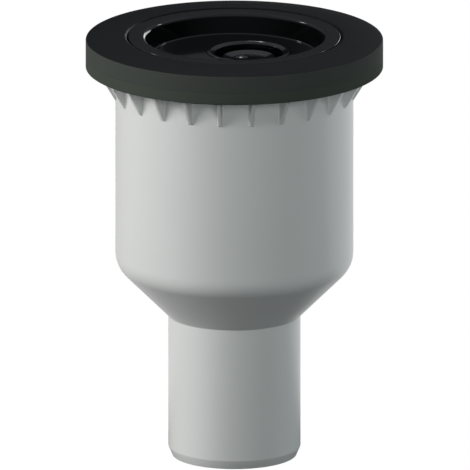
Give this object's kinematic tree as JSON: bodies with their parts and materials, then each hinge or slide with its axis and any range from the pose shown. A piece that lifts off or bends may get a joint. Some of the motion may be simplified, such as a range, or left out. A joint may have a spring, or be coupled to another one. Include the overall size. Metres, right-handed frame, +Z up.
{
  "type": "shower waste",
  "caption": "Upright shower waste: grey pot with gusseted flange, cone and DN50 spigot, black clamp flange and seals, and a lift-out trap with cup, dip tube and beaker.",
  "frame": {"origin": "on the axis, at the foot of the outlet spigot", "axes": "+Z up along the axis, from the spigot to the mouth; the pictured side faces -Y"},
  "size_m": [0.1124, 0.1124, 0.1635],
  "materials": {
    "body_pp": "light grey moulded polypropylene, soft sheen",
    "seal_epdm": "black moulded EPDM rubber, dull",
    "clamp_pp": "black moulded polypropylene, fine satin texture",
    "cup_abs": "black moulded ABS, polished",
    "dip_abs": "black moulded ABS, polished",
    "beaker_pp": "black moulded polypropylene, satin"
  },
  "bodies": {
    "root": {"drain_body": "body_pp", "flange_seal": "seal_epdm", "clamp_flange": "clamp_pp", "clamp_seal": "seal_epdm", "trap_cup": "cup_abs", "collar_ring": "seal_epdm", "dip_tube": "dip_abs", "dip_ring": "seal_epdm", "trap_beaker": "beaker_pp"}
  },
  "joints": []
}
